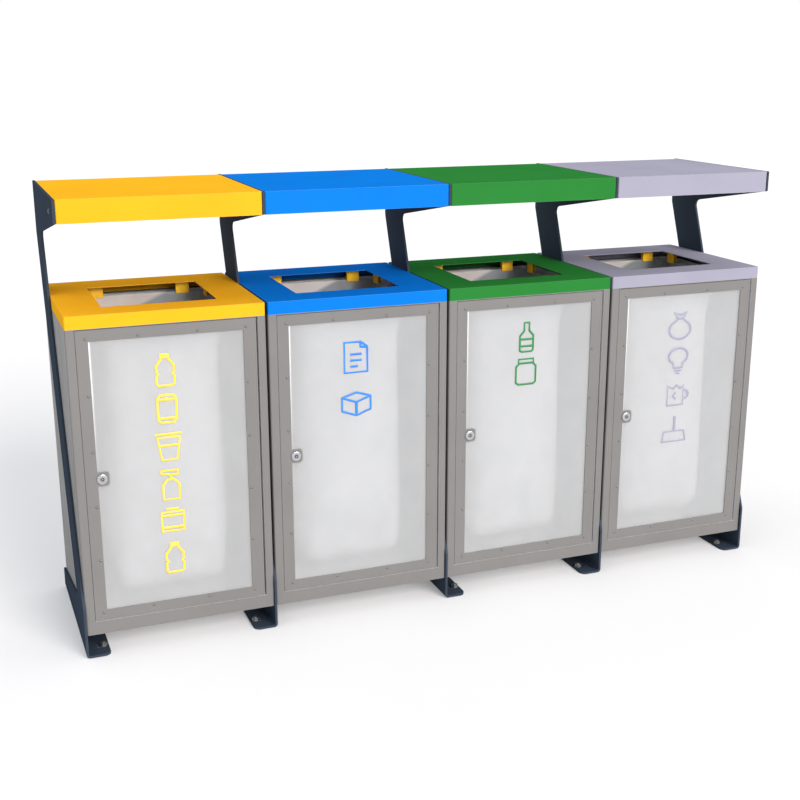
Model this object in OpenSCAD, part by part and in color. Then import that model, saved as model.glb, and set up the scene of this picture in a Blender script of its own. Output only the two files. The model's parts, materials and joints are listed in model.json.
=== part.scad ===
// Outdoor waste sorting station: a row of four bins on shared sheet-steel supports.
// Each bin has a fixed casing, a hinged and locked front door with a clear window,
// a coloured lid with a throw-in opening, a bag hung from a ring, and a small roof.
// The origin is on the ground under the middle of the row. +X runs along the row,
// the doors face -Y, and +Z is up. All sizes are in millimetres.

/* [Row] */
// Distance between the centres of neighbouring supports
pitch = 500; // [480:2:520]
// Height of the roofs' top above the ground
top_z = 1172; // [1160:1:1200]
// Depth of the supports
support_depth = 482; // [470:2:500]

/* [Supports] */
// Thickness of the support plates
plate_t = 6; // [5:0.5:8]
// Lean of the strip that carries the roofs, in degrees from upright
strip_lean = 21.2; // [19:0.1:23]
// Width of the leaning strip, measured level
strip_w = 132; // [120:1:140]
// Height of the upright front edge of the foot
foot_front_h = 135; // [125:1:145]
// Height of the rear end of the foot
foot_rear_h = 60; // [50:1:70]
// Distance from the plate's middle to the edge of its floor flange
flange_reach = 60; // [56:1:66]

/* [Casing] */
// Height of the casing's underside above the ground
casing_z = 61; // [55:1:70]
// Height of the casing's top
casing_top_z = 861; // [850:1:870]
// Depth of the casing and of the lid
casing_depth = 469; // [455:1:474]
// Thickness of the casing and door sheet
sheet_t = 2; // [1.5:0.5:2.5]
// Height of the rail under the door
rail_h = 35; // [30:1:40]
// Width of the front edge strip on the lock side
stile_lock_w = 22.7; // [20:0.1:24]
// Width of the front edge strip on the hinge side
stile_hinge_w = 20.3; // [18:0.1:20.5]

/* [Door] */
// Width of the door's frame on the lock side
frame_lock_w = 30; // [28:1:32]
// Width of the door's frame on the hinge side
frame_hinge_w = 33; // [30:1:35]
// Width of the door's frame at the top and bottom
frame_rail_w = 28.5; // [26:0.5:32]
// Depth of the door's folded edges
door_depth = 18; // [16:1:20]
// Thickness of the clear window
window_t = 4; // [3:0.5:5]
// Height of the lock above the ground
lock_z = 478; // [440:1:520]

/* [Lid and roof] */
// Height of the lid's skirt
lid_h = 33; // [28:1:38]
// Width of the throw-in opening
opening_w = 290; // [260:2:300]
// Depth of the throw-in opening
opening_d = 274; // [250:2:284]
// Distance from the lid's front to the middle of the throw-in opening
opening_set_back = 227; // [224:1:236]
// Depth of the roof
roof_depth = 466; // [450:1:480]
// Height of the roof's skirt
roof_h = 57.4; // [50:0.1:64]

/* [Bag] */
// Height of the bag's bottom above the ground
bag_bottom_z = 116; // [100:1:160]
// Half the width inside the bag ring
ring_half_w = 172; // [165:1:176]
// Half the depth inside the bag ring
ring_half_d = 175; // [168:1:180]

/* [Hidden] */
FRACTIONS = ["plastic", "paper", "glass", "mixed"];
PIECES = ["casing", "lid", "roof", "door_frame", "window", "window_screws", "lock_body",
    "lock_plug", "lock_cam", "hinge_pins", "bag_ring", "bag_clips", "bag"];
SUPPORTS = ["support_1", "support_2", "support_3", "support_4", "support_5"];
$fn = 48;

// Colours of the four waste fractions, in the order of FRACTIONS
FRACTION_COLORS = [[0.98, 0.76, 0.12], [0.05, 0.52, 0.93], [0.17, 0.53, 0.22], [0.70, 0.69, 0.77]];
STEEL_GREY = [0.60, 0.58, 0.56];
ANTHRACITE = [0.17, 0.20, 0.25];
CHROME = [0.80, 0.81, 0.83];
BOLT_STEEL = [0.66, 0.67, 0.68];
CLIP_YELLOW = [0.96, 0.75, 0.08];

// Which way each support's floor flange points
FLANGE_SIDES = [1, -1, 1, -1, -1];
function support_x(i) = (i - 2) * pitch;
function bin_x(i) = (i - 1.5) * pitch;

// Shared planes
front_y = -235;
rear_y = front_y + casing_depth;
support_front_y = -support_depth / 2;
support_rear_y = support_depth / 2;
roof_rear_y = support_front_y + roof_depth;
opening_mid_y = front_y + opening_set_back;
casing_w = pitch - plate_t;
lid_w = casing_w - 1;
lid_top_z = casing_top_z + lid_h;
roof_bottom_z = top_z - roof_h;
edge_r = 4;
gap = 0.05;

// Gaps round the door: on the lock side, on the hinge side, above and below
door_gap_lock = 1.1;
door_gap_hinge = 5;
door_gap_end = 1.5;

// Door edges, measured from the bin's middle
door_left = -casing_w / 2 + stile_lock_w + door_gap_lock;
door_right = casing_w / 2 - stile_hinge_w - door_gap_hinge;
door_bottom = casing_z + rail_h + door_gap_end;
door_top = casing_top_z - sheet_t - door_gap_end;
window_left = door_left + frame_lock_w;
window_right = door_right - frame_hinge_w;
window_bottom = door_bottom + frame_rail_w;
window_top = door_top - frame_rail_w;
window_lap = 18;

// The door turns about an upright line close to its hinge-side front edge
hinge_x = door_right - 7;
hinge_y = front_y + 7;
pin_r = 3;
pin_collar_r = 4.5;
bush_size = 12;

// Window screws
screw_r = 2;
screw_hole_r = 2.15;
screw_head_r = 3.6;
screw_inset = 7;
screw_inner_x = 73;
screw_gaps = 5;

// Lock
lock_x = window_left + 11;
lock_tab_reach = 29;
lock_tab_h = 37;
lock_tab_r = 8;
lock_head_r = 13.5;
lock_barrel_r = 10;
lock_plug_r = 7;
cam_y = front_y + 21.5;
cam_t = 3;
cam_len = 48;
cam_w = 16;
cam_rest = 40;

// Fixings on the supports, as [y, z]
strip_front_at_foot = support_front_y - foot_front_h * tan(strip_lean);
function strip_mid_y(z) = strip_front_at_foot + z * tan(strip_lean) + strip_w / 2;
lid_fixing_z = casing_top_z + 16;
CASING_FIXINGS = [
    [strip_mid_y(250), 250],
    [strip_mid_y(750), 750],
    [strip_mid_y(lid_fixing_z) - 30, lid_fixing_z],
    [strip_mid_y(lid_fixing_z) + 30, lid_fixing_z]];
roof_front_fixing = [-160, top_z - 36];
roof_rear_fixing = [160, top_z - 36];
STUD_FIXINGS = concat(CASING_FIXINGS, [roof_rear_fixing]);
fixing_r = 3;
fixing_hole_r = 3.3;
fixing_nut = [10, 4];

// From a support's middle to the inner face of the casing's sides, and of the lid's and roof's
casing_inside = plate_t / 2 + sheet_t;
tray_inside = casing_inside + (casing_w - lid_w) / 2;

// Floor slots and the anchor bolts in the front ones
slot_x = 40;
slot_y = 191;
slot_w = 13;
slot_len = 28;
anchor_x = 46.5;

// ---------- shared shapes ----------

// A flat rectangle with round corners, given by its low and high corners
module rounded_rect(low, high, r) {
    translate([low.x + r, low.y]) square([high.x - low.x - 2 * r, high.y - low.y]);
    translate([low.x, low.y + r]) square([high.x - low.x, high.y - low.y - 2 * r]);
    for (x = [low.x + r, high.x - r], y = [low.y + r, high.y - r]) translate([x, y]) circle(r);
}

// A box with round upright edges
module rounded_box(low, high, r) {
    translate([0, 0, low.z]) linear_extrude(high.z - low.z) rounded_rect(low, high, r);
}

module box(low, high) {
    translate(low) cube(high - low);
}

// A cylinder along +X or along +Y, from its start point
module rod_x(start, length, r) {
    translate(start) rotate([0, 90, 0]) cylinder(h = length, r = r);
}

module rod_y(start, length, r) {
    translate(start) rotate([-90, 0, 0]) cylinder(h = length, r = r);
}

// The hole of one side fixing, cut along the row through a piece of the given half width
module through_holes(f, half) {
    rod_x([-half - 1, f.x, f.y], 2 * half + 2, fixing_hole_r);
}

// A low dome on the plane z = 0
module dome(r, h) {
    ball_r = (r * r + h * h) / (2 * h);
    intersection() {
        translate([0, 0, h - ball_r]) sphere(ball_r);
        cylinder(h = h, r = r);
    }
}

// A six-sided nut on the plane z = 0, with its width across the flats
module nut(flats, h) {
    cylinder(h = h, r = flats / 2 / cos(30), $fn = 6);
}

// Points of an outline whose corners are rounded: each corner is [x, y, radius]
function unit(v) = v / norm(v);
function corner_arc(before, at, after, r, steps = 8) =
    let (
        a = unit(before - at),
        b = unit(after - at),
        half = acos(a * b) / 2,
        mid = at + unit(a + b) * r / sin(half),
        start = at + a * r / tan(half) - mid,
        side = (a.x * b.y - a.y * b.x) > 0 ? -1 : 1,
        sweep = side * (180 - 2 * half))
    [for (k = [0:steps])
        let (t = sweep * k / steps)
        mid + [start.x * cos(t) - start.y * sin(t), start.x * sin(t) + start.y * cos(t)]];
function rounded_outline(corners) =
    let (n = len(corners))
    [for (i = [0:n - 1])
        let (
            c = corners[i],
            p = corners[(i + n - 1) % n],
            q = corners[(i + 1) % n])
        each c[2] == 0
            ? [[c.x, c.y]]
            : corner_arc([p.x, p.y], [c.x, c.y], [q.x, q.y], c[2])];

// ---------- supports ----------

// Side view of a support: a foot, a strip leaning back, and a head under the roofs
module support_outline() {
    lean = tan(strip_lean);
    head_rear_z = 1052;
    strip_rear = strip_front_at_foot + strip_w;
    head_slope = 0.1786;
    inner_y = strip_front_at_foot + head_rear_z * lean;
    head_front_z = head_rear_z + head_slope * (inner_y - support_front_y);
    notch_z = 120;
    notch_y = strip_rear + notch_z * lean;
    polygon(rounded_outline([
        [support_front_y, 0, 0],
        [support_front_y, foot_front_h, 20],
        [inner_y, head_rear_z, 18],
        [support_front_y, head_front_z, 2],
        [support_front_y, top_z, 2],
        [support_rear_y, top_z, 2],
        [support_rear_y, (support_rear_y - strip_rear) / lean, 20],
        [notch_y, notch_z, 18],
        [support_rear_y, foot_rear_h, 6],
        [support_rear_y, 0, 0]]));
}

// A floor slot along X, centred on the given point
module slot(at) {
    straight = (slot_len - slot_w) / 2;
    translate([0, 0, -1]) {
        for (dx = [-straight, straight])
            translate([at.x + dx, at.y, 0]) cylinder(h = plate_t + 2, r = slot_w / 2);
        box([at.x - straight, at.y - slot_w / 2, 0], [at.x + straight, at.y + slot_w / 2, plate_t + 2]);
    }
}

// One support whose flange points to +X, in the plate's own middle plane
module support_shape(is_end) {
    bend_in = 4;
    bend_out = bend_in + plate_t;
    bend_x = bend_out - plate_t / 2;
    difference() {
        union() {
            intersection() {
                translate([-plate_t / 2, 0, 0]) rotate([90, 0, 90]) linear_extrude(plate_t) support_outline();
                box([-plate_t, support_front_y - 1, bend_out], [plate_t, support_rear_y + 1, top_z + 1]);
            }
            // Bend from the plate into the floor flange
            intersection() {
                difference() {
                    rod_y([bend_x, support_front_y, bend_out], support_depth, bend_out);
                    rod_y([bend_x, support_front_y - 1, bend_out], support_depth + 2, bend_in);
                }
                box([-plate_t, support_front_y, 0], [bend_x, support_rear_y, bend_out]);
            }
            intersection() {
                rounded_box([bend_x - 40, support_front_y, 0], [flange_reach, support_rear_y, plate_t], 18);
                box([bend_x, support_front_y, 0], [flange_reach, support_rear_y, plate_t]);
            }
        }
        for (y = [-slot_y, slot_y]) slot([slot_x, y]);
        through_holes(roof_front_fixing, plate_t);
        if (!is_end) for (f = STUD_FIXINGS) through_holes(f, plate_t);
    }
}

// A support in its place; the end supports carry welded studs instead of most through holes
module support(i) {
    is_end = i == 0 || i == 4;
    inward = i == 0 ? 1 : -1;
    stud_len = plate_t / 2 + sheet_t + 8;
    color(ANTHRACITE) translate([support_x(i), 0, 0]) {
        if (FLANGE_SIDES[i] > 0) support_shape(is_end);
        else mirror([1, 0, 0]) support_shape(is_end);
        if (is_end) for (f = STUD_FIXINGS)
            rod_x([inward > 0 ? 0 : -stud_len, f.x, f.y], stud_len, fixing_r);
    }
}

// ---------- casing, lid and roof ----------

// Upright folded walls of a hollow box, open above and below
module wall_ring(low, high, r, t) {
    difference() {
        rounded_box(low, high, r);
        rounded_box([low.x + t, low.y + t, low.z - 1], [high.x - t, high.y - t, high.z + 1], r - t);
    }
}

module casing_shape() {
    half = casing_w / 2;
    lip = 18;
    floor_top = casing_z + sheet_t;
    front_inner = front_y + sheet_t;
    difference() {
        union() {
            wall_ring([-half, front_y, casing_z], [half, rear_y, casing_top_z], edge_r, sheet_t);
            rounded_box([-half + 1, front_y + 1, casing_z], [half - 1, rear_y - 1, floor_top], edge_r - 1);
            // Inward folds that carry the lid
            difference() {
                rounded_box([-half + 1, front_y + 1, casing_top_z - sheet_t],
                    [half - 1, rear_y - 1, casing_top_z], edge_r - 1);
                rounded_box([-half + lip, front_y + lip, casing_z],
                    [half - lip, rear_y - lip, casing_top_z + 1], edge_r);
            }
            // Folds around the doorway
            box([-half + stile_lock_w - sheet_t, front_inner, floor_top - 1],
                [-half + stile_lock_w, front_y + lip, casing_top_z - 1]);
            box([half - stile_hinge_w, front_inner, floor_top - 1],
                [half - stile_hinge_w + sheet_t, front_y + lip, casing_top_z - 1]);
            box([-half + 1, front_inner - 1, casing_z + rail_h - sheet_t],
                [half - 1, front_y + lip, casing_z + rail_h]);
        }
        box([-half + stile_lock_w, front_y - 1, casing_z + rail_h],
            [half - stile_hinge_w, front_inner + 1, casing_top_z - sheet_t]);
        // Pin holes, fixing holes and floor drains
        for (z = [casing_z + rail_h, casing_top_z])
            translate([hinge_x, hinge_y, z - sheet_t - 1]) cylinder(h = sheet_t + 2, r = pin_r + gap);
        for (k = [0, 1]) through_holes(CASING_FIXINGS[k], half);
        for (x = [-half + 60, half - 60], y = [front_y + 60, rear_y - 60])
            translate([x, y, casing_z - 1]) cylinder(h = sheet_t + 2, r = 6);
    }
}

module lid_shape() {
    half = lid_w / 2;
    difference() {
        rounded_box([-half, front_y, casing_top_z], [half, rear_y, lid_top_z], edge_r);
        rounded_box([-half + sheet_t, front_y + sheet_t, casing_top_z - 1],
            [half - sheet_t, rear_y - sheet_t, lid_top_z - sheet_t], edge_r - sheet_t);
        rounded_box([-opening_w / 2, opening_mid_y - opening_d / 2, casing_top_z],
            [opening_w / 2, opening_mid_y + opening_d / 2, lid_top_z + 1], 3);
        for (k = [2, 3]) through_holes(CASING_FIXINGS[k], half);
    }
}

module roof_shape() {
    half = lid_w / 2;
    lip = 14;
    difference() {
        rounded_box([-half, support_front_y, roof_bottom_z], [half, roof_rear_y, top_z], edge_r);
        rounded_box([-half + sheet_t, support_front_y + sheet_t, roof_bottom_z + sheet_t],
            [half - sheet_t, roof_rear_y - sheet_t, top_z - sheet_t], edge_r - sheet_t);
        rounded_box([-half + lip, support_front_y + lip, roof_bottom_z - 1],
            [half - lip, roof_rear_y - lip, roof_bottom_z + sheet_t + 1], edge_r);
        through_holes(roof_front_fixing, half);
        through_holes(roof_rear_fixing, half);
    }
}

// ---------- door ----------

function screw_rows() = [for (k = [1:screw_gaps - 1])
    window_bottom - screw_inset + k * (window_top - window_bottom + 2 * screw_inset) / screw_gaps];
function screw_places() = concat(
    [for (x = [window_left - screw_inset, -screw_inner_x, screw_inner_x, window_right + screw_inset])
        for (z = [window_bottom - screw_inset, window_top + screw_inset]) [x, z]],
    [for (x = [window_left - screw_inset, window_right + screw_inset]) for (z = screw_rows()) [x, z]]);

// A plate in the plane y = at, given by its corners as [x, z] and its thickness
module upright_plate(at, t, low, high, r) {
    translate([0, at + t, 0]) rotate([90, 0, 0]) linear_extrude(t) rounded_rect(low, high, r);
}

module door_frame_shape() {
    inner_y = front_y + sheet_t;
    back_y = front_y + door_depth;
    tab_low = [window_left - 10, lock_z - lock_tab_h / 2];
    tab_high = [window_left + lock_tab_reach, lock_z + lock_tab_h / 2];
    difference() {
        union() {
            difference() {
                upright_plate(front_y, door_depth, [door_left, door_bottom], [door_right, door_top], 1);
                box([door_left + sheet_t, inner_y, door_bottom + sheet_t],
                    [door_right - sheet_t, back_y + 1, door_top - sheet_t]);
                difference() {
                    upright_plate(front_y - 1, door_depth, [window_left, window_bottom],
                        [window_right, window_top], 2);
                    // Tab that carries the lock
                    upright_plate(front_y - 2, door_depth + 2, tab_low, tab_high, lock_tab_r);
                }
            }
            // Bushes that take the hinge pins
            for (z = [door_bottom + 1, door_top - bush_size - 1])
                box([hinge_x - bush_size / 2, inner_y - 1, z],
                    [hinge_x + bush_size / 2, inner_y + bush_size - 1, z + bush_size]);
        }
        for (z = [door_bottom - 1, door_top - bush_size - 2])
            translate([hinge_x, hinge_y, z]) cylinder(h = bush_size + 3, r = pin_r + gap);
        for (s = screw_places()) rod_y([s.x, front_y - 1, s.y], sheet_t + 2, screw_hole_r);
        rod_y([lock_x, front_y - 1, lock_z], sheet_t + 2, lock_barrel_r + 0.1);
    }
}

module window_shape() {
    difference() {
        upright_plate(front_y + sheet_t, window_t, [window_left - window_lap, window_bottom - window_lap],
            [window_right + window_lap - 2, window_top + window_lap], 3);
        for (s = screw_places()) rod_y([s.x, front_y, s.y], window_t + 4, screw_hole_r);
        rod_y([lock_x, front_y, lock_z], window_t + 4, lock_barrel_r + 0.1);
    }
}

// Dome-headed screws with nuts, pointing to the rear
module window_screws_shape() {
    back = sheet_t + window_t;
    head_h = 2.2;
    nut_h = 3;
    tail = 1.7;
    for (s = screw_places()) translate([s.x, front_y, s.y]) {
        rotate([90, 0, 0]) dome(screw_head_r, head_h);
        rod_y([0, -0.2, 0], back + nut_h + tail, screw_r);
        translate([0, back + nut_h, 0]) rotate([90, 0, 0]) nut(7, nut_h);
    }
}

module lock_body_shape() {
    head_t = 4;
    nut_t = 5;
    barrel_end = cam_y - 0.5;
    nut_y = front_y + sheet_t + window_t;
    difference() {
        union() {
            // Head with a rounded rim
            translate([lock_x, front_y, lock_z]) rotate([90, 0, 0]) rotate_extrude()
                intersection() {
                    rounded_rect([-lock_head_r, -head_t], [lock_head_r, head_t], 2.5);
                    square([lock_head_r, head_t]);
                }
            rod_y([lock_x, front_y - 1, lock_z], barrel_end - front_y + 1, lock_barrel_r);
            translate([lock_x, nut_y + nut_t, lock_z]) rotate([90, 0, 0]) nut(25, nut_t);
        }
        rod_y([lock_x, front_y - head_t - 1, lock_z], barrel_end - front_y + head_t + 2, lock_plug_r + gap);
    }
}

// Turning plug with a round key recess and a three-sided key stud in it
module lock_plug_shape() {
    plug_front = front_y - 3.4;
    recess = 5;
    recess_r = 4.8;
    stud_r = 3.4;
    translate([lock_x, 0, lock_z]) {
        difference() {
            rod_y([0, plug_front, 0], cam_y - plug_front, lock_plug_r);
            rod_y([0, plug_front - 1, 0], recess + 1, recess_r);
        }
        translate([0, plug_front + recess + 0.5, 0]) rotate([90, 0, 0])
            cylinder(h = recess, r = stud_r, $fn = 3);
    }
}

// Locking lever behind the door; it leans towards the lock-side edge at rest
module lock_cam_shape() {
    translate([lock_x, 0, lock_z]) rotate([0, -cam_rest, 0]) {
        rod_y([0, cam_y, 0], cam_t, cam_w / 2 + 1);
        box([-cam_w / 2, cam_y, 0], [cam_w / 2, cam_y + cam_t, cam_len - cam_w / 2]);
        rod_y([0, cam_y, cam_len - cam_w / 2], cam_t, cam_w / 2);
        translate([0, cam_y + cam_t + 4, 0]) rotate([90, 0, 0]) nut(10, 4.2);
    }
}

// Two pins fixed in the casing, each with a head, a collar and a tip in the door's bush
module hinge_pins_shape() {
    collar = 1.3;
    head = 1.5;
    reach = 13;
    rail_top = casing_z + rail_h;
    flange_bottom = casing_top_z - sheet_t;
    pin_len = sheet_t + 0.5 + reach;
    translate([hinge_x, hinge_y, 0]) {
        translate([0, 0, rail_top - sheet_t - head]) cylinder(h = head, r = pin_collar_r);
        translate([0, 0, rail_top - sheet_t - 0.5]) cylinder(h = pin_len, r = pin_r);
        translate([0, 0, rail_top]) cylinder(h = collar, r = pin_collar_r);
        translate([0, 0, casing_top_z]) cylinder(h = head, r = pin_collar_r);
        translate([0, 0, flange_bottom - reach]) cylinder(h = pin_len, r = pin_r);
        translate([0, 0, flange_bottom - collar]) cylinder(h = collar, r = pin_collar_r);
    }
}

// ---------- bag, ring and clips ----------

ring_t = 3;
ring_top_z = casing_top_z;
ring_h = 20;
clip_spread = 117;
clip_w = 36;

module ring_outline(out, r) {
    rounded_rect([-ring_half_w - out, opening_mid_y - ring_half_d - out],
        [ring_half_w + out, opening_mid_y + ring_half_d + out], r);
}

module bag_ring_shape() {
    translate([0, 0, ring_top_z - ring_h]) linear_extrude(ring_h) difference() {
        ring_outline(ring_t, 33);
        ring_outline(0, 30);
    }
}

// One clip, seen along its width: it grips the bag against the ring and hangs under the lid
module clip_outline() {
    leaf = 2.4;
    inner = -5;
    outer = 6.6;
    top = lid_top_z - sheet_t;
    leaf_bottom = top - 35;
    hook_top = ring_top_z - ring_h - 0.5;
    translate([inner, leaf_bottom]) square([leaf, top - leaf_bottom]);
    translate([inner, top - leaf]) square([outer - inner, leaf]);
    translate([outer - leaf, hook_top - leaf]) square([leaf, top - hook_top + leaf]);
    translate([0.3, hook_top - leaf]) square([outer - 0.3, leaf]);
}

module bag_clip() {
    translate([0, clip_w / 2, 0]) rotate([90, 0, 0]) linear_extrude(clip_w) clip_outline();
}

module bag_clips_shape() {
    translate([0, opening_mid_y, 0]) for (s = [-clip_spread, clip_spread]) {
        translate([ring_half_w, s, 0]) bag_clip();
        translate([-ring_half_w, s, 0]) rotate([0, 0, 180]) bag_clip();
        translate([s, ring_half_d, 0]) rotate([0, 0, 90]) bag_clip();
        translate([s, -ring_half_d, 0]) rotate([0, 0, -90]) bag_clip();
    }
}

// The bag as a plain open sack just inside the ring
module bag_shape() {
    film = 1.2;
    translate([0, 0, bag_bottom_z]) difference() {
        linear_extrude(ring_top_z - bag_bottom_z) ring_outline(-0.6, 29);
        translate([0, 0, film]) linear_extrude(ring_top_z) ring_outline(-0.6 - film, 28);
    }
}

// ---------- fasteners ----------

module anchor_bolts_shape() {
    for (i = [0:len(SUPPORTS) - 1])
        translate([support_x(i) + FLANGE_SIDES[i] * anchor_x, -slot_y, 0]) {
            translate([0, 0, 0.2]) cylinder(h = plate_t, r = 5);
            translate([0, 0, plate_t]) cylinder(h = 2, r = 10);
            translate([0, 0, plate_t + 1.8]) nut(17, 6.6);
            translate([0, 0, plate_t + 8]) cylinder(h = 3, r = 5);
        }
}

// A bolt through a support from one face to the other, at the fixing f. Its reach to the left
// and right ends in a nut, or in a dome on the outside of an end support.
module side_bolt(x, f, left, right, dome_left = false, dome_right = false) {
    tail = fixing_nut[1] + 1;
    tail_left = dome_left ? 0.2 : tail;
    tail_right = dome_right ? 0.2 : tail;
    translate([x, f.x, f.y]) {
        rod_x([-left - tail_left, 0, 0], left + right + tail_left + tail_right, fixing_r);
        translate([-left, 0, 0]) rotate([0, -90, 0]) bolt_end(dome_left);
        translate([right, 0, 0]) rotate([0, 90, 0]) bolt_end(dome_right);
    }
}

module bolt_end(is_dome) {
    if (is_dome) dome(7, 3);
    else nut(fixing_nut[0], fixing_nut[1]);
}

// One fixing along the whole row: bolts through the inner supports, and nuts on the studs
// welded to the end supports
module stud_row(f, inside) {
    for (i = [1:len(SUPPORTS) - 2]) side_bolt(support_x(i), f, inside, inside);
    for (side = [-1, 1]) translate([side * (2 * pitch - inside), f.x, f.y]) rotate([0, -side * 90, 0])
        difference() {
            nut(fixing_nut[0], fixing_nut[1]);
            translate([0, 0, -1]) cylinder(h = fixing_nut[1] + 2, r = fixing_r + gap);
        }
}

module roof_bolts_shape() {
    last = len(SUPPORTS) - 1;
    outside = plate_t / 2;
    for (i = [0:last])
        side_bolt(support_x(i), roof_front_fixing, i == 0 ? outside : tray_inside,
            i == last ? outside : tray_inside, i == 0, i == last);
    stud_row(roof_rear_fixing, tray_inside);
}

module casing_bolts_shape() {
    for (k = [0, 1]) stud_row(CASING_FIXINGS[k], casing_inside);
    for (k = [2, 3]) stud_row(CASING_FIXINGS[k], tray_inside);
}

// ---------- nodes ----------

module fraction_piece(i, piece) {
    translate([bin_x(i), 0, 0]) {
        if (piece == "casing") color(STEEL_GREY) casing_shape();
        if (piece == "lid") color(FRACTION_COLORS[i]) lid_shape();
        if (piece == "roof") color(FRACTION_COLORS[i]) roof_shape();
        if (piece == "door_frame") color(STEEL_GREY) door_frame_shape();
        if (piece == "window") color([0.9, 0.93, 0.95, 0.4]) window_shape();
        if (piece == "window_screws") color(BOLT_STEEL) window_screws_shape();
        if (piece == "lock_body") color(CHROME) lock_body_shape();
        if (piece == "lock_plug") color(CHROME) lock_plug_shape();
        if (piece == "lock_cam") color(BOLT_STEEL) lock_cam_shape();
        if (piece == "hinge_pins") color(BOLT_STEEL) hinge_pins_shape();
        if (piece == "bag_ring") color(BOLT_STEEL) bag_ring_shape();
        if (piece == "bag_clips") color(CLIP_YELLOW) bag_clips_shape();
        if (piece == "bag") color([0.92, 0.92, 0.92]) bag_shape();
    }
}

for (i = [0:len(FRACTIONS) - 1], piece = PIECES)
    fraction_piece(i, piece);
for (i = [0:len(SUPPORTS) - 1])
    support(i);
color(BOLT_STEEL) anchor_bolts_shape();  // anchor_bolts
color(BOLT_STEEL) roof_bolts_shape();  // roof_bolts
color(BOLT_STEEL) casing_bolts_shape();  // casing_bolts
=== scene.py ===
"""Looks of the waste sorting station: materials, hanging bags, window pictograms, light and camera."""

import json
import math
import random

import bmesh
import bpy
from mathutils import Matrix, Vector

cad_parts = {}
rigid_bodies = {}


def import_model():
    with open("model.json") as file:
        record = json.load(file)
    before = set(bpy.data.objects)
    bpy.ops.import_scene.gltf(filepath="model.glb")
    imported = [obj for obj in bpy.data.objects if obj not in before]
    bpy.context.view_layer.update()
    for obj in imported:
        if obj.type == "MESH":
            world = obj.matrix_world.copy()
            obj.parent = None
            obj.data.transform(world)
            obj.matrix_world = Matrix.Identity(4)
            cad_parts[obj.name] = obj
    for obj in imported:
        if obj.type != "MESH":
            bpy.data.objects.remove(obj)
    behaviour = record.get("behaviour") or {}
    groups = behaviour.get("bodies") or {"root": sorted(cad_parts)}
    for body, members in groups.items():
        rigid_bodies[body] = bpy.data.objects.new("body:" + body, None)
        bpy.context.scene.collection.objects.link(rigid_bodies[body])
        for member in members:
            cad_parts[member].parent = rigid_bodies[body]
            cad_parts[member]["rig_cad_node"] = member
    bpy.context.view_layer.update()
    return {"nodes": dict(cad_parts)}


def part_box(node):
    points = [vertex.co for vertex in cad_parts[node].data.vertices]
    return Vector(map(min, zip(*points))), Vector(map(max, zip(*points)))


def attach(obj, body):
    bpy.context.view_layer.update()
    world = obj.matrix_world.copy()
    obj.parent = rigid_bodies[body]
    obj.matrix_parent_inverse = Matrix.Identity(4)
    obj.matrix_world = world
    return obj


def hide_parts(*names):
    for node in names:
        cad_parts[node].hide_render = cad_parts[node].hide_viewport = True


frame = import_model()
nodes = frame["nodes"]

FRACTIONS = ["plastic", "paper", "glass", "mixed"]
MM = 0.001

# Linear colours of the powder coats, by fraction
COAT_COLORS = {
    "plastic": (0.70, 0.342, 0.012),
    "paper": (0.002, 0.142, 0.52),
    "glass": (0.018, 0.155, 0.026),
    "mixed": (0.275, 0.262, 0.325),
}
# Linear colours of the pictograms, by fraction
LABEL_COLORS = {
    "plastic": (0.82, 0.53, 0.035),
    "paper": (0.012, 0.165, 0.58),
    "glass": (0.015, 0.17, 0.04),
    "mixed": (0.26, 0.245, 0.34),
}
# Plain white, for gloss, glow and the backdrop
WHITE = (1.0, 1.0, 1.0, 1.0)


# ---------- materials ----------

def add_node(tree, kind, inputs=None, **settings):
    """Adds a shader node; each input is given as a value or as another node's output."""
    node = tree.nodes.new("ShaderNode" + kind)
    for key, value in settings.items():
        setattr(node, key, value)
    for key, value in (inputs or {}).items():
        if isinstance(value, bpy.types.NodeSocket):
            tree.links.new(value, node.inputs[key])
        else:
            node.inputs[key].default_value = value
    return node


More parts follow.
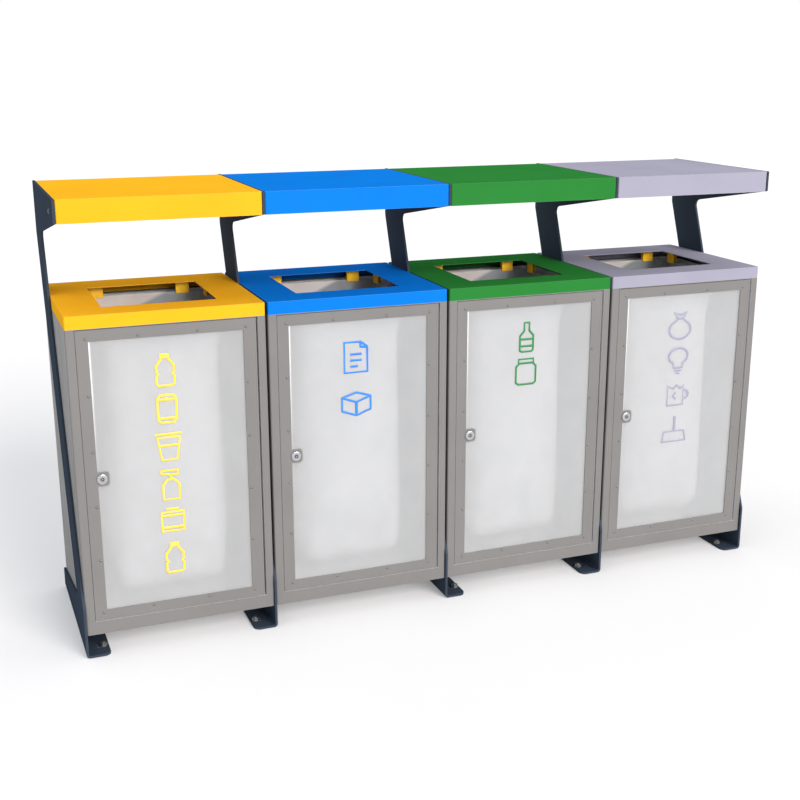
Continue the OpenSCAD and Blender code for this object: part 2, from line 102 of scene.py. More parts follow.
class Graph:
    """A material's node tree, with short ways to add and join nodes."""

    def __init__(self, name):
        self.material = bpy.data.materials.new(name)
        self.material.use_nodes = True
        self.tree = self.material.node_tree
        self.tree.nodes.clear()
        self.output = self.tree.nodes.new("ShaderNodeOutputMaterial")
        self.coords = self.tree.nodes.new("ShaderNodeTexCoord")

    def add(self, kind, inputs=None, **settings):
        return add_node(self.tree, kind, inputs, **settings)

    def noise(self, scale, detail=2.0, stretch=(1, 1, 1), roughness=0.5):
        """Noise in the row's metres; scale is features per metre."""
        mapping = self.add("Mapping", {"Vector": self.coords.outputs["Object"], "Scale": stretch})
        node = self.add("TexNoise", {"Vector": mapping.outputs[0], "Scale": scale, "Detail": detail,
                                     "Roughness": roughness})
        return node.outputs["Fac"]

    def remap(self, value, low, high, from_low=0.3, from_high=0.7):
        node = self.add("MapRange", {"Value": value, "From Min": from_low, "From Max": from_high,
                                     "To Min": low, "To Max": high})
        return node.outputs[0]

    def mix_color(self, fac, a, b):
        """Blends two colours, each given as three numbers or as another node's output."""
        node = self.add("Mix", data_type="RGBA")
        wanted = {"Factor": "VALUE", "A": "RGBA", "B": "RGBA"}
        for key, value in (("Factor", fac), ("A", a), ("B", b)):
            socket = next(s for s in node.inputs if s.name == key and s.type == wanted[key])
            if isinstance(value, bpy.types.NodeSocket):
                self.tree.links.new(value, socket)
            else:
                socket.default_value = value if key == "Factor" else (*value, 1.0)
        return next(s for s in node.outputs if s.type == "RGBA")

    def bump(self, height, strength, distance, normal=None):
        inputs = {"Height": height, "Strength": strength, "Distance": distance}
        if normal is not None:
            inputs["Normal"] = normal
        return self.add("Bump", inputs).outputs[0]

    def edges(self, radius):
        """1 on sharp edges, falling to 0 away from them."""
        bevel = self.add("Bevel", {"Radius": radius}, samples=6)
        geometry = self.add("NewGeometry")
        dot = self.add("VectorMath", {0: bevel.outputs[0], 1: geometry.outputs["Normal"]},
                       operation="DOT_PRODUCT")
        return self.remap(dot.outputs["Value"], 1.0, 0.0, 0.75, 0.999)

    def finish(self, shader):
        self.tree.links.new(shader, self.output.inputs["Surface"])
        return self.material


def scaled(color, factor):
    return tuple(min(1.0, c * factor) for c in color)


def powder_coat(name, color, roughness=0.5, grain_depth=0.05, edge=0.3, sheen=0.003, low_angle=0.0):
    """Baked powder coat: fine grain on a soft orange peel, a little lighter along its edges, partly as wear
    and partly as a painted highlight.

    sheen is an even share of gloss; low_angle adds shine on faces seen at a low angle."""
    grain = 1400
    orange_peel = 230
    g = Graph(name)
    cloud = g.remap(g.noise(5.0, 3.0), 0.0, 1.0)
    speckle = g.remap(g.noise(grain, 1.0), 0.0, 1.0)
    base = g.mix_color(cloud, scaled(color, 0.95), scaled(color, 1.05))
    base = g.mix_color(g.remap(speckle, 0.0, 0.35, 0.0, 1.0), base, scaled(color, 0.86))
    # Lighter edges: part wear, part painted highlight
    worn_and_highlit = tuple(c * 0.6 + 0.3 for c in color)
    base = g.mix_color(g.remap(g.edges(1.6 * MM), 0.0, edge, 0.0, 1.0), base, worn_and_highlit)
    smears = g.noise(22.0, 4.0, (1.0, 1.0, 0.35))
    rough = g.remap(smears, roughness - 0.05, roughness + 0.07)
    normal = g.bump(g.noise(orange_peel, 2.0), 0.08, 0.6 * MM)
    normal = g.bump(g.noise(grain, 1.0), grain_depth, 0.3 * MM, normal)
    body = g.add("BsdfPrincipled", {"Base Color": base, "Roughness": rough, "Normal": normal,
                                    "Specular IOR Level": low_angle})
    gloss = g.add("BsdfGlossy", {"Color": WHITE, "Roughness": rough, "Normal": normal})
    shader = g.add("MixShader", {0: sheen, 1: body.outputs[0], 2: gloss.outputs[0]})
    return g.finish(shader.outputs[0])


def metal(name, color, roughness, brushed=(1, 1, 1), scratch=0.1, stain=0.12, recess_shade=0.0):
    """Bare plated metal with fine scratches and faint stains; its last argument paints shade into its
    recesses.
    """
    g = Graph(name)
    stains = g.remap(g.noise(60.0, 4.0), 0.0, stain)
    base = g.mix_color(stains, color, scaled(color, 0.55))
    if recess_shade > 0:
        # Painted shade: the colour darkens where ambient occlusion finds a recess
        occlusion = g.add("AmbientOcclusion", {"Distance": 6 * MM}, samples=8).outputs["AO"]
        base = g.mix_color(g.remap(occlusion, recess_shade, 0.0, 0.35, 0.85), base, scaled(color, 0.08))
    rough = g.remap(g.noise(400.0, 3.0, brushed), roughness * 0.75, roughness * 1.3)
    normal = g.bump(g.noise(1800.0, 2.0, brushed), scratch, 0.2 * MM)
    shader = g.add("BsdfPrincipled", {"Base Color": base, "Metallic": 1.0, "Roughness": rough,
                                      "Normal": normal})
    return g.finish(shader.outputs[0])


def moulded_plastic(name, color, roughness=0.34):
    """Injection-moulded plastic with a faint texture and a little light passing into it."""
    g = Graph(name)
    base = g.mix_color(g.remap(g.noise(35.0, 3.0), 0.0, 1.0), scaled(color, 0.92), scaled(color, 1.06))
    rough = g.remap(g.noise(120.0, 2.0), roughness - 0.05, roughness + 0.08)
    normal = g.bump(g.noise(900.0, 2.0), 0.06, 0.3 * MM)
    shader = g.add("BsdfPrincipled", {"Base Color": base, "Roughness": rough, "Normal": normal,
                                      "Subsurface Weight": 0.15, "Subsurface Radius": (0.004, 0.002, 0.001)})
    return g.finish(shader.outputs[0])


def milky_window(name):
    """Clear sheet with a light milky haze: it lets the inside show softly and shines at a low angle."""
    g = Graph(name)
    haze = g.remap(g.noise(9.0, 3.0), 0.36, 0.39)
    # A painted highlight: a bright line along the lock-side edge of the opening, where light leaves the
    # sheet, fading downwards
    place = g.add("SeparateXYZ", {0: g.coords.outputs["Generated"]})
    near_edge = g.remap(place.outputs["X"], 1.0, 0.0, 0.047, 0.062)
    high_up = g.remap(place.outputs["Z"], 0.1, 0.9, 0.35, 0.9)
    painted_highlight = g.add("Math", {0: near_edge, 1: high_up}, operation="MULTIPLY")
    haze = g.add("Math", {0: haze, 1: painted_highlight.outputs[0]}, operation="MAXIMUM").outputs[0]
    normal = g.bump(g.noise(6.0, 2.0), 0.05, 4 * MM)
    normal = g.bump(g.noise(700.0, 2.0), 0.015, 0.3 * MM, normal)
    clear = g.add("BsdfTransparent", {"Color": (0.98, 0.985, 0.99, 1.0)})
    # The painted highlight also turns the milk near white
    milk_color = g.mix_color(painted_highlight.outputs[0], (0.66, 0.66, 0.665), (0.95, 0.95, 0.94))
    milk = g.add("BsdfDiffuse", {"Color": milk_color, "Normal": normal})
    glow = g.add("BsdfTranslucent", {"Color": (0.72, 0.72, 0.73, 1.0), "Normal": normal})
    milky = g.add("MixShader", {0: 0.25, 1: milk.outputs[0], 2: glow.outputs[0]})
    body = g.add("MixShader", {0: haze, 1: clear.outputs[0], 2: milky.outputs[0]})
    gloss = g.add("BsdfGlossy", {"Color": WHITE, "Roughness": 0.12, "Normal": normal})
    fresnel = g.add("Fresnel", {"IOR": 1.46, "Normal": normal})
    shader = g.add("MixShader", {0: g.remap(fresnel.outputs[0], 0.0, 0.75, 0.0, 1.0), 1: body.outputs[0],
                                 2: gloss.outputs[0]})
    return g.finish(shader.outputs[0])


# The painted shade on a bag's film near its mouth: how steeply its slanting edge runs, in bag widths per bag
# height, where that soft edge starts and ends along X - slope * Z, and between which heights the shade
# fades in; X and Z run from 0 to 1 across the bag
PAINTED_SHADE_SLOPE = 4.8
PAINTED_SHADE_EDGE = (-4.14, -4.07)
MOUTH_EDGE = (0.86, 0.9)


def bag_film(name, dark, light, through_color, shade=None):
    """Thin whitish film: soft folds, a dull shine, and light passing through.

    shade is its painted shade colour near the mouth, to the right of a slanting line, where no daylight
    falls."""
    g = Graph(name)
    tone = g.remap(g.noise(7.0, 3.0), 0.0, 1.0)
    base = g.mix_color(tone, dark, light)
    through_tint = (*through_color, 1.0)
    if shade is not None:
        # Painted shade near the mouth, right of a slanting line
        place = g.add("SeparateXYZ", {0: g.coords.outputs["Generated"]})
        slant = g.add("Math", {0: place.outputs["Z"], 1: -PAINTED_SHADE_SLOPE, 2: place.outputs["X"]},
                      operation="MULTIPLY_ADD")
        past_shade_edge = g.remap(slant.outputs[0], 0.0, 1.0, *PAINTED_SHADE_EDGE)
        near_mouth = g.remap(place.outputs["Z"], 0.0, 1.0, *MOUTH_EDGE)
        shaded = g.add("Math", {0: past_shade_edge, 1: near_mouth}, operation="MULTIPLY").outputs[0]
        base = g.mix_color(shaded, base, shade)
        through_tint = g.mix_color(shaded, through_color, shade)
    creases = g.noise(26.0, 5.0, (1.0, 1.0, 0.22), 0.6)
    crinkle = g.noise(110.0, 4.0)
    normal = g.bump(creases, 0.16, 4 * MM)
    normal = g.bump(crinkle, 0.04, MM, normal)
    rough = g.remap(g.noise(40.0, 3.0), 0.30, 0.48)
    skin = g.add("BsdfPrincipled", {"Base Color": base, "Roughness": rough, "Normal": normal,
                                    "Specular IOR Level": 0.4})
    through = g.add("BsdfTranslucent", {"Color": through_tint, "Normal": normal})
    clear = g.add("BsdfTransparent", {"Color": (0.96, 0.96, 0.97, 1.0)})
    film = g.add("MixShader", {0: 0.42, 1: skin.outputs[0], 2: through.outputs[0]})
    shader = g.add("MixShader", {0: 0.08, 1: film.outputs[0], 2: clear.outputs[0]})
    return g.finish(shader.outputs[0])


def printed_label(name, color):
    """Thin vinyl cut, matt, with a faint unevenness."""
    g = Graph(name)
    base = g.mix_color(g.remap(g.noise(30.0, 3.0), 0.0, 1.0), scaled(color, 0.93), scaled(color, 1.05))
    rough = g.remap(g.noise(200.0, 2.0), 0.42, 0.56)
    normal = g.bump(g.noise(600.0, 2.0), 0.05, 0.2 * MM)
    shader = g.add("BsdfPrincipled", {"Base Color": base, "Roughness": rough, "Normal": normal})
    return g.finish(shader.outputs[0])


def pale_floor(name):
    """A pale matt sweep."""
    g = Graph(name)
    base = g.mix_color(g.remap(g.noise(0.6, 2.0), 0.0, 1.0), (0.690, 0.670, 0.675), (0.705, 0.686, 0.690))
    matt = g.add("BsdfDiffuse", {"Color": base})
    # The camera sees the shadows lightened, as on a bright studio sweep
    glow = g.add("Emission", {"Color": WHITE, "Strength": 1.0})
    seen = g.add("LightPath")
    share = g.add("Math", {0: seen.outputs["Is Camera Ray"], 1: 0.2}, operation="MULTIPLY")
    shader = g.add("MixShader", {0: share.outputs[0], 1: matt.outputs[0], 2: glow.outputs[0]})
    return g.finish(shader.outputs[0])


GREY_COAT = powder_coat("grey_coat", (0.151, 0.143, 0.139), edge=0.1, sheen=0.01, low_angle=0.24)
GREY_INSIDE = powder_coat("grey_inside", (0.66, 0.65, 0.65), roughness=0.5, edge=0.1)
ANTHRACITE_COAT = powder_coat("anthracite_coat", (0.029, 0.040, 0.058), roughness=0.55,
                              grain_depth=0.16, edge=0.08, sheen=0.007)
# The lock's chrome gets painted shade in its recesses
CHROME = metal("lock_chrome", (0.50, 0.505, 0.52), 0.27, scratch=0.03, stain=0.05, recess_shade=0.9)
STEEL = metal("plated_steel", (0.27, 0.268, 0.265), 0.46)
DULL_STEEL = metal("dull_steel", (0.21, 0.207, 0.203), 0.52)
DARK_STEEL = metal("dark_steel", (0.075, 0.095, 0.115), 0.42)
RING_STEEL = metal("ring_steel", (0.66, 0.67, 0.69), 0.38, (1.0, 1.0, 6.0))
CLIP_YELLOW = moulded_plastic("clip_yellow", (0.88, 0.48, 0.012))
WINDOW = milky_window("window_sheet")
FILM = bag_film("bag_film", (0.88, 0.875, 0.89), (0.97, 0.97, 0.985), (0.93, 0.93, 0.945))
# The film's inner face: a darker, warmer copy of the same film, painted with the shade inside the bag
FILM_INSIDE_SHADED = bag_film("bag_film_inside_shaded", (0.54, 0.47, 0.44), (0.74, 0.67, 0.635), (0.76, 0.69, 0.655),
                       shade=(0.29, 0.30, 0.315))
COATS = {f: powder_coat("coat_" + f, COAT_COLORS[f]) for f in FRACTIONS}

NODE_MATERIALS = {
    "casing": GREY_COAT,
    "door_frame": GREY_COAT,
    "window": WINDOW,
    "window_screws": DULL_STEEL,
    "lock_body": CHROME,
    "lock_plug": CHROME,
    "lock_cam": STEEL,
    "hinge_pins": STEEL,
    "bag_ring": RING_STEEL,
    "bag_clips": CLIP_YELLOW,
    "bag": FILM,
}


def set_material(node, *materials):
    slots = node.data.materials
    slots.clear()
    for material in materials:
        slots.append(material)


def lighten_inside(node, depth, top_depth):
    """Faces that lie deeper than `depth` inside the node's sides, and `top_depth` below its top, take
    its second material."""
    low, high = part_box(node["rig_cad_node"])
    for face in node.data.polygons:
        c = face.center
        inside = all(low[k] + depth < c[k] < high[k] - depth for k in (0, 1))
        face.material_index = 1 if inside and c.z < high.z - top_depth else 0


for fraction in FRACTIONS:
    for piece, material in NODE_MATERIALS.items():
        set_material(nodes[f"{fraction}_{piece}"], material)
    for piece in ("lid", "roof"):
        set_material(nodes[f"{fraction}_{piece}"], COATS[fraction])
    set_material(nodes[f"{fraction}_casing"], GREY_COAT, GREY_INSIDE)
    lighten_inside(nodes[f"{fraction}_casing"], 1.2 * MM, 1.5 * MM)
for name in [f"support_{i}" for i in range(1, 6)]:
    set_material(nodes[name], ANTHRACITE_COAT)
for name, material in (("anchor_bolts", STEEL), ("casing_bolts", STEEL), ("roof_bolts", DARK_STEEL)):
    set_material(nodes[name], material)


# ---------- bags ----------

# Points round a bag and rows down its side
BAG_AROUND = 96
BAG_ROWS = 54
# Half a bag's width and depth at mid height, how much it widens towards its bottom, and its roundings
BAG_HALF_W = 150 * MM
BAG_HALF_D = 158 * MM
BAG_WIDENING = 0.08
BAG_BOTTOM_R = 46 * MM
BAG_CORNER_R = 42 * MM
RIM_CORNER_R = 30 * MM
LEAST_CORNER_R = 24 * MM
# Height over which a bag narrows from its ring, and the depth of its upright folds
BAG_NECK = 55 * MM
FOLD_DEPTH = 3.2 * MM
# The film's way over the ring, as steps outwards and up from the bag's rim, and the wave of its hem
RIM_PROFILE = [(0.9 * MM, 1.3 * MM), (3.0 * MM, 1.3 * MM), (4.2 * MM, -0.5 * MM), (4.5 * MM, -11 * MM)]
RIM_WAVE = 1.2 * MM
# Steps of the cloth simulation, and the furthest it may move a point
HANG_STEPS = 18
HANG_REACH = 14 * MM
# How far the film stays inside the ring, and above the floor of the space it may take
FILM_GAP = 0.6 * MM
FILM_LIFT = 6 * MM
FILM_T = 0.25 * MM


def rounded_ring(half_w, half_d, r, count):
    """Points round a rounded rectangle, evenly spaced, starting at its +X side."""
    straight_x, straight_y = half_w - r, half_d - r
    arc = math.pi * r / 2
    sides = [2 * straight_y, arc, 2 * straight_x, arc] * 2
    total = sum(sides)
    points = []
    for k in range(count):
        s = (k + 0.5) / count * total
        side = 0
        while s > sides[side]:
            s -= sides[side]
            side += 1
        quarter = side // 2
        if side % 2 == 0:
            reach = half_w if quarter % 2 == 0 else half_d
            run = straight_y if quarter % 2 == 0 else straight_x
            x, y = reach, s - run
        else:
            a = s / r
            first, second = (straight_x, straight_y) if quarter % 2 == 0 else (straight_y, straight_x)
            x, y = first + r * math.cos(a), second + r * math.sin(a)
        for _ in range(quarter):
            x, y = -y, x
        points.append((x, y))
    return points


def join_rows(mesh, upper, lower):
    """Fills the band between two rings of equally many points with faces."""
    count = len(upper)
    for k in range(count):
        n = (k + 1) % count
        mesh.faces.new((upper[k], lower[k], lower[n], upper[n]))


def bag_shell(name, centre, ring, top_z, bottom_z, seed):
    """The sack before it hangs: a rim on the ring, folded sides that widen downwards, a round bottom."""
    rng = random.Random(seed)
    folds = [(rng.choice([9, 12, 15, 19, 23]), rng.uniform(0, 2 * math.pi), rng.uniform(0.5, 1.0))
             for _ in range(4)]
    mesh = bmesh.new()
    rows = []
    for level in range(BAG_ROWS + 1):
        z = top_z + (bottom_z - top_z) * level / BAG_ROWS
        drop = (top_z - z) / (top_z - bottom_z)
        neck = math.exp(-((top_z - z) / BAG_NECK) ** 2)
        belly = 1 + BAG_WIDENING * (drop - 0.5)
        w = BAG_HALF_W * belly * (1 - neck) + ring[0] * neck
        d = BAG_HALF_D * belly * (1 - neck) + ring[1] * neck
        # The sides round inwards over the last stretch above the bottom
        short_of_round = max(BAG_BOTTOM_R - (z - bottom_z), 0)
        pull = BAG_BOTTOM_R - math.sqrt(max(BAG_BOTTOM_R ** 2 - short_of_round ** 2, 0))
        corner = RIM_CORNER_R * neck + BAG_CORNER_R * (1 - neck)
        outline = rounded_ring(w - pull, d - pull, max(corner - pull * 0.3, LEAST_CORNER_R), BAG_AROUND)
        row = []
        for k, (x, y) in enumerate(outline):
            angle = 2 * math.pi * k / BAG_AROUND
            wave = sum(s * math.sin(n * angle + p + 2.2 * drop * s) for n, p, s in folds) / len(folds)
            depth = FOLD_DEPTH * wave * (1 - neck) * (1 - 0.3 * drop)
            out = Vector((x, y)).normalized()
            row.append(mesh.verts.new((centre[0] + x - out.x * depth, centre[1] + y - out.y * depth, z)))
        rows.append(row)
    for upper, lower in zip(rows, rows[1:]):
        join_rows(mesh, upper, lower)
    # Close the bottom with shrinking rings round one middle point
    inner = rows[-1]
    rings = 7
    for step in range(1, rings):
        t = 1 - step / rings
        row = [mesh.verts.new((centre[0] + (v.co.x - centre[0]) * t, centre[1] + (v.co.y - centre[1]) * t,
                               bottom_z)) for v in rows[-1]]
        join_rows(mesh, inner, row)
        inner = row
    tip = mesh.verts.new((centre[0], centre[1], bottom_z))
    for k in range(BAG_AROUND):
        mesh.faces.new((inner[k], tip, inner[(k + 1) % BAG_AROUND]))
    data = bpy.data.meshes.new(name)
    mesh.to_mesh(data)
    mesh.free()
    bag = bpy.data.objects.new(name, data)
    bpy.context.scene.collection.objects.link(bag)
    for face in data.polygons:
        face.use_smooth = True
    return bag


def hang(bag, top_z):
    """Lets the film hang and fill a little, held at the rim, and keeps the result."""
    pins = bag.vertex_groups.new(name="rim")
    held = [v.index for v in bag.data.vertices if v.co.z > top_z - 10 * MM]
    pins.add(held, 1.0, "REPLACE")
    cloth = bag.modifiers.new("film", "CLOTH")
    settings = cloth.settings
    settings.quality = 6
    settings.mass = 0.06
    settings.tension_stiffness = 25
    settings.compression_stiffness = 6
    settings.shear_stiffness = 6
    settings.bending_stiffness = 0.02
    settings.tension_damping = 12
    settings.compression_damping = 12
    settings.vertex_group_mass = "rim"
    settings.use_pressure = True
    settings.uniform_pressure_force = 0.35
    settings.effector_weights.gravity = 0.35
    cloth.collision_settings.use_collision = False
    scene = bpy.context.scene
    before = [v.co.copy() for v in bag.data.vertices]
    cloth.point_cache.frame_start = 1
    cloth.point_cache.frame_end = HANG_STEPS
    for step in range(1, HANG_STEPS + 1):
        scene.frame_set(step)
    evaluated = bag.evaluated_get(bpy.context.evaluated_depsgraph_get())
    after = [v.co.copy() for v in evaluated.data.vertices]
    bag.modifiers.remove(cloth)
    for v, a, b in zip(bag.data.vertices, before, after):
        move = b - a
        if move.length > HANG_REACH:
            move = move.normalized() * HANG_REACH
        v.co = a + move
    scene.frame_set(1)


def add_rim(bag, ring, centre, top_z):
    """Folds the film over the ring's outside as a short, slightly wavy skirt."""
    mesh = bmesh.new()
    mesh.from_mesh(bag.data)
    mesh.verts.ensure_lookup_table()
    rim = [v for v in mesh.verts if abs(v.co.z - top_z) < 0.5 * MM]
    rim.sort(key=lambda v: math.atan2(v.co.y - centre[1], v.co.x - centre[0]))
    previous = rim
    for out, z in RIM_PROFILE:
        row = []
        for k, v in enumerate(rim):
            x, y = v.co.x - centre[0], v.co.y - centre[1]
            grow_x, grow_y = (ring[0] + out) / ring[0], (ring[1] + out) / ring[1]
            wave = RIM_WAVE * math.sin(k * 0.9) if z < -5 * MM else 0
            row.append(mesh.verts.new((centre[0] + x * grow_x, centre[1] + y * grow_y, top_z + z + wave)))
        join_rows(mesh, previous, row)
        previous = row
    bmesh.ops.recalc_face_normals(mesh, faces=mesh.faces)
    bottom = min(mesh.faces, key=lambda face: face.calc_center_median().z)
    if bottom.normal.z > 0:
        bmesh.ops.reverse_faces(mesh, faces=mesh.faces)
    mesh.to_mesh(bag.data)
    mesh.free()
    for face in bag.data.polygons:
        face.use_smooth = True


def make_bag(fraction, seed):
    low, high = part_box(f"{fraction}_bag")
    centre = ((low.x + high.x) / 2, (low.y + high.y) / 2)
    ring = ((high.x - low.x) / 2 - FILM_GAP, (high.y - low.y) / 2 - FILM_GAP)
    bag = bag_shell(f"{fraction}_film_bag", centre, ring, high.z, low.z + FILM_LIFT, seed)
    hang(bag, high.z)
    add_rim(bag, ring, centre, high.z)
    smooth = bag.modifiers.new("smooth", "SUBSURF")
    smooth.levels = 1
    smooth.render_levels = 1
    skin = bag.modifiers.new("film", "SOLIDIFY")
    skin.thickness = FILM_T
    skin.offset = 0
    # The inner face takes the painted-shade copy of the film
    skin.material_offset = 1
    set_material(bag, FILM, FILM_INSIDE_SHADED)
    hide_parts(f"{fraction}_bag")
    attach(bag, "root")


for number, fraction in enumerate(FRACTIONS):
    make_bag(fraction, 11 + number)


# ---------- pictograms on the windows ----------
# Each pictogram is a list of strokes in a cell 70 wide and 90 high, centred on the origin.

def arc(cx, cy, r, start, end, steps=14):
    """Points along a circle's arc, angles in degrees."""
    return [(cx + r * math.cos(math.radians(start + (end - start) * k / steps)),
             cy + r * math.sin(math.radians(start + (end - start) * k / steps))) for k in range(steps + 1)]


def closed(points):
    return points + [points[0]]


def box_stroke(x0, y0, x1, y1):
    return closed([(x0, y0), (x1, y0), (x1, y1), (x0, y1)])


def drink_bottle():
    body = [(-7, 40), (-7, 28), (-17, 12), (-17, -4), (-13, -9), (-17, -14), (-17, -36), (-13, -40)]
    right = [(-x, y) for x, y in reversed(body)]
    return [closed(body + right), [(-7, 33), (7, 33)]]


def drink_can():
    return [closed([(-12, 36), (12, 36), (18, 28), (18, -28), (12, -36), (-12, -36), (-18, -28), (-18, 28)]),
            [(-18, 24), (18, 24)], [(-18, -24), (18, -24)], arc(0, 30, 4, 200, 340, 6)]


def spray_bottle():
    return [closed([(-16, -40), (16, -40), (16, 0), (6, 14), (-6, 14), (-16, 0)]),
            [(0, 14), (0, 26), (-18, 30), (-18, 38), (14, 38), (14, 26), (0, 26)]]


def yoghurt_cup():
    return [closed([(-22, 26), (22, 26), (15, -34), (-15, -34)]), [(-26, 34), (26, 34)], [(-19, 4), (19, 4)]]


def food_tin():
    return [box_stroke(-22, -26, 22, 26), [(-22, 16), (22, 16)], [(-22, -16), (22, -16)],
            [(-12, 34), (12, 34)]]


def paper_sheet():
    return [closed([(-24, 40), (10, 40), (24, 26), (24, -40), (-24, -40)]), [(10, 40), (10, 26), (24, 26)],
            [(-12, 8), (12, 8)], [(-12, -8), (12, -8)], [(-12, -24), (4, -24)]]


def carton_box():
    return [closed([(-30, 14), (0, 26), (30, 14), (30, -22), (0, -36), (-30, -22)]),
            [(-30, 14), (0, 0), (30, 14)], [(0, 0), (0, -36)]]


def glass_bottle():
    body = [(-6, 42), (-6, 18), (-16, 4), (-16, -38), (-12, -42)]
    right = [(-x, y) for x, y in reversed(body)]
    return [closed(body + right), [(-16, -6), (16, -6)], [(-16, -26), (16, -26)]]


def glass_jar():
    return [closed([(-16, 24), (16, 24), (24, 14), (24, -32), (18, -38), (-18, -38), (-24, -32), (-24, 14)]),
            box_stroke(-18, 24, 18, 36)]


def tied_sack():
    return [closed([(-6, 18)] + arc(0, -14, 27, 125, 415, 22) + [(6, 18)]),
            [(-6, 18), (-16, 36), (0, 29), (16, 36), (6, 18)]]


def broken_cup():
    return [closed([(-22, 28), (-8, 20), (0, 30), (10, 19), (18, 28), (18, -30), (-22, -30)]),
            arc(18, 0, 13, -80, 80, 10), [(-2, 8), (-8, -4), (0, -12)]]


def light_bulb():
    return [closed(arc(0, 12, 24, -60, 240, 22) + [(-11, -22), (11, -22)]), [(-10, -30), (10, -30)],
            [(-5, -38), (5, -38)]]


def dust_pan():
    return [closed([(-26, -6), (26, -6), (30, -36), (-30, -36)]), [(0, -6), (0, 40)]]


# Height of each label in metres, and its pictograms from the top down
LABELS = {
    "plastic": (0.600, [drink_bottle, drink_can, yoghurt_cup, spray_bottle, food_tin, drink_bottle]),
    "paper": (0.245, [paper_sheet, carton_box]),
    "glass": (0.195, [glass_bottle, glass_jar]),
    "mixed": (0.425, [tied_sack, light_bulb, broken_cup, dust_pan]),
}
# Height of every label's top, and how far left of the window's middle it stands
LABEL_TOP = 0.792
LABEL_SHIFT = -9 * MM
# Height given to one pictogram's cell, the largest scale it may take, and how much it is widened
CELL_H = 100
LARGEST_SCALE = 1.02 * MM
LABEL_WIDEN = 1.3
# Width and thickness of a stroke
STROKE = 7.4 * MM
STROKE_T = 0.35 * MM


def stroke_curve(data, points, place):
    is_closed = points[0] == points[-1]
    used = points[:-1] if is_closed else points
    spline = data.splines.new("POLY")
    spline.points.add(len(used) - 1)
    for point, (u, v) in zip(spline.points, used):
        x, z = place(u, v)
        point.co = (x, 0.0, z, 1.0)
    spline.use_cyclic_u = is_closed


def make_label(fraction):
    length, icons = LABELS[fraction]
    low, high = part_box(f"{fraction}_window")
    middle = (low.x + high.x) / 2 + LABEL_SHIFT
    step = length / len(icons)
    data = bpy.data.curves.new(f"{fraction}_pictograms", "CURVE")
    data.dimensions = "3D"
    data.bevel_depth = STROKE / 2
    data.bevel_resolution = 1
    data.use_fill_caps = True
    size = min(step / CELL_H, LARGEST_SCALE)
    for k, icon in enumerate(icons):
        centre_z = LABEL_TOP - step * (k + 0.5)
        for points in icon():
            stroke_curve(data, points, lambda u, v: (middle + u * size * LABEL_WIDEN, centre_z + v * size))
    curve = bpy.data.objects.new(f"{fraction}_pictograms", data)
    bpy.context.scene.collection.objects.link(curve)
    mesh = bpy.data.meshes.new_from_object(curve.evaluated_get(bpy.context.evaluated_depsgraph_get()))
    bpy.data.objects.remove(curve)
    # Press the round strokes flat against the window's face
    for vertex in mesh.vertices:
        vertex.co.y = low.y - STROKE_T / 2 + vertex.co.y * STROKE_T / STROKE
    label = bpy.data.objects.new(f"{fraction}_pictograms", mesh)
    bpy.context.scene.collection.objects.link(label)
    set_material(label, printed_label("label_" + fraction, LABEL_COLORS[fraction]))
    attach(label, f"{fraction}_door")


for fraction in FRACTIONS:
    make_label(fraction)


# ---------- floor, light and camera ----------

# The floor's width in metres, and how far it lies below the feet
FLOOR_SIZE = 60
FLOOR_DROP = 0.2 * MM
# The key light's direction, strength and softness, the angle in degrees
KEY_TOWARDS = Vector((0.29, -0.86, 0.44))
KEY_ENERGY = 3.7
KEY_ANGLE = 34
KEY_COLOR = (1.0, 0.985, 0.96)
# The surroundings on the left and right, and their strength
SKY_LEFT = (0.86, 0.94, 1.0, 1.0)
SKY_RIGHT = (0.76, 0.755, 0.745, 1.0)
SKY_STRENGTH = 1.25
# The camera: its place, how far it looks down, rolls and turns in degrees, and its lens
CAMERA_PLACE = (-1.2781, -3.1972, 1.5012)
CAMERA_DOWN = 15.83
CAMERA_ROLL = -0.12
CAMERA_TURN = -21.71
CAMERA_LENS = 55.19
CAMERA_SHIFT = -0.0183


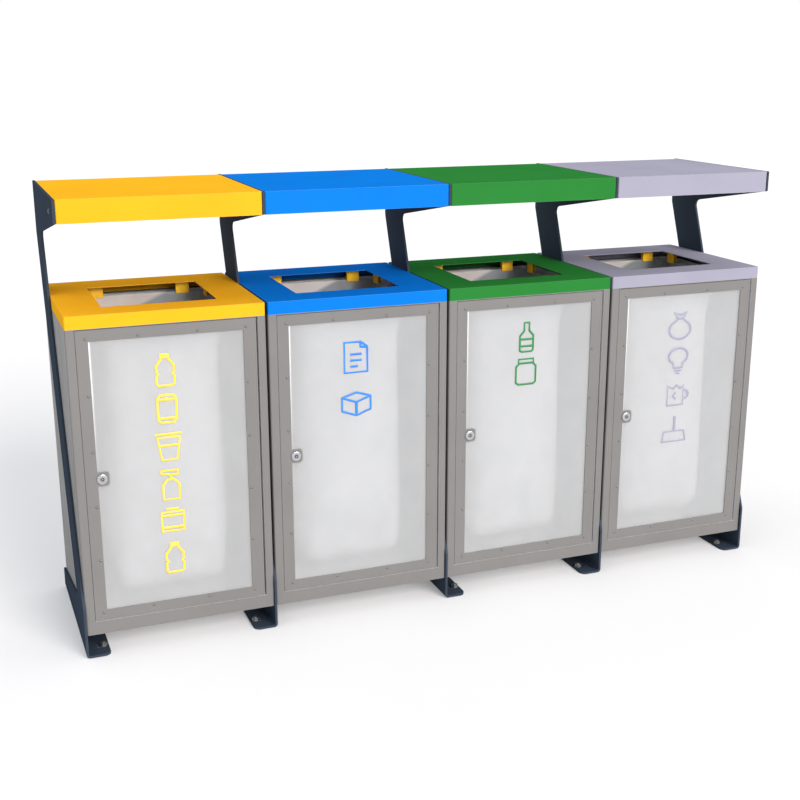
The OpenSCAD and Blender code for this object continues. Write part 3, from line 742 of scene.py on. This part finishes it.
def make_floor():
    bpy.ops.mesh.primitive_plane_add(size=FLOOR_SIZE)
    floor = bpy.context.object
    floor.name = "floor"
    floor.location.z = -FLOOR_DROP
    set_material(floor, pale_floor("floor"))


def make_light():
    """A white surrounding and one soft key from the front right."""
    world = bpy.data.worlds.new("studio")
    bpy.context.scene.world = world
    world.use_nodes = True
    tree = world.node_tree
    tree.nodes.clear()
    # Cool and bright from the left, warmer and dimmer from the right
    coords = add_node(tree, "TexCoord")
    split = add_node(tree, "SeparateXYZ", {0: coords.outputs["Generated"]})
    across = add_node(tree, "MapRange", {"Value": split.outputs["X"], "From Min": -1.0})
    tint = add_node(tree, "ValToRGB", {0: across.outputs[0]})
    tint.color_ramp.elements[0].color = SKY_LEFT
    tint.color_ramp.elements[1].color = SKY_RIGHT
    lighting = add_node(tree, "Background", {"Color": tint.outputs[0], "Strength": SKY_STRENGTH})
    seen = add_node(tree, "Background", {"Color": WHITE})
    path = add_node(tree, "LightPath")
    mix = add_node(tree, "MixShader", {0: path.outputs["Is Camera Ray"], 1: lighting.outputs[0],
                                       2: seen.outputs[0]})
    add_node(tree, "OutputWorld", {"Surface": mix.outputs[0]})

    key = bpy.data.lights.new("key", "SUN")
    key.energy = KEY_ENERGY
    key.angle = math.radians(KEY_ANGLE)
    key.color = KEY_COLOR
    lamp = bpy.data.objects.new("key", key)
    bpy.context.scene.collection.objects.link(lamp)
    lamp.rotation_mode = "QUATERNION"
    lamp.rotation_quaternion = KEY_TOWARDS.to_track_quat("Z", "Y")


def make_camera():
    camera = bpy.data.cameras.new("camera")
    camera.sensor_width = 36
    camera.lens = CAMERA_LENS
    camera.shift_x = CAMERA_SHIFT
    camera.clip_start = 0.05
    camera.clip_end = 200
    holder = bpy.data.objects.new("camera", camera)
    bpy.context.scene.collection.objects.link(holder)
    holder.location = CAMERA_PLACE
    turns = (90 - CAMERA_DOWN, CAMERA_ROLL, CAMERA_TURN)
    holder.rotation_euler = [math.radians(turn) for turn in turns]
    bpy.context.scene.camera = holder


make_floor()
make_light()
make_camera()
scene = bpy.context.scene
scene.view_settings.view_transform = "Standard"
scene.view_settings.look = "None"
